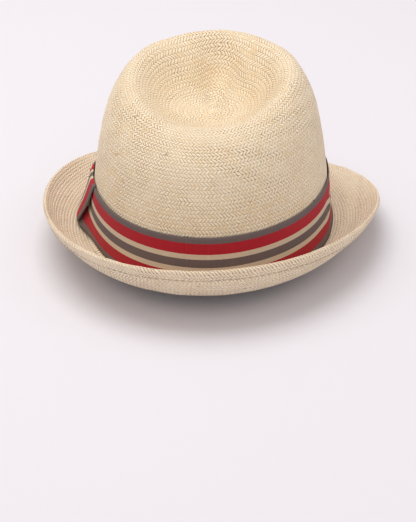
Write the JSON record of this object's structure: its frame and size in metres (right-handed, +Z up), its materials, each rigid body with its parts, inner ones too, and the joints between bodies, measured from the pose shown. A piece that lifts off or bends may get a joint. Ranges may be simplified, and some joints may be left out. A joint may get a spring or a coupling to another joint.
{
  "type": "straw fedora hat",
  "caption": "Woven straw fedora with a short turned-up brim, a teardrop-dented crown and a striped ribbon band with a side bow.",
  "frame": {"origin": "centre of the head opening, in the plane where crown and brim meet", "axes": "+Z up through the crown, -Y towards the front of the brim, +X towards the wearer's left side, where the bow is"},
  "size_m": [0.2421, 0.2835, 0.1345],
  "materials": {
    "straw": "woven straw, matte",
    "ribbon": "grosgrain, seven lengthwise stripes in grey, red and cream",
    "straw_thread": "cotton thread",
    "grey_thread": "cotton thread",
    "reed_plastic": "matte",
    "cotton_tape": "woven tape",
    "sweat_leather": "fine grain",
    "small_ribbon": "satin",
    "label_cloth": "woven label, blank"
  },
  "bodies": {
    "hat": {"straw_body": "straw", "hem_stitching": "straw_thread", "hat_band": "ribbon", "band_tacks": "grey_thread", "bow_ribbon": "ribbon", "bow_wrap": "ribbon", "bow_stitches": "grey_thread", "reed": "reed_plastic", "reed_tape": "cotton_tape"},
    "sweatband_part": {"sweatband": "sweat_leather", "sweatband_join_tape": "cotton_tape", "sweatband_join_stitches": "straw_thread", "sweatband_seam": "straw_thread", "sweatband_bow_loops": "small_ribbon", "sweatband_bow_knot": "small_ribbon", "size_label": "label_cloth"}
  },
  "joints": [
    {"name": "sweatband_turn_out", "type": "slide", "parent": "hat", "child": "sweatband_part", "axis": [0, 0, -1], "range_m": [0, 0.034]}
  ]
}
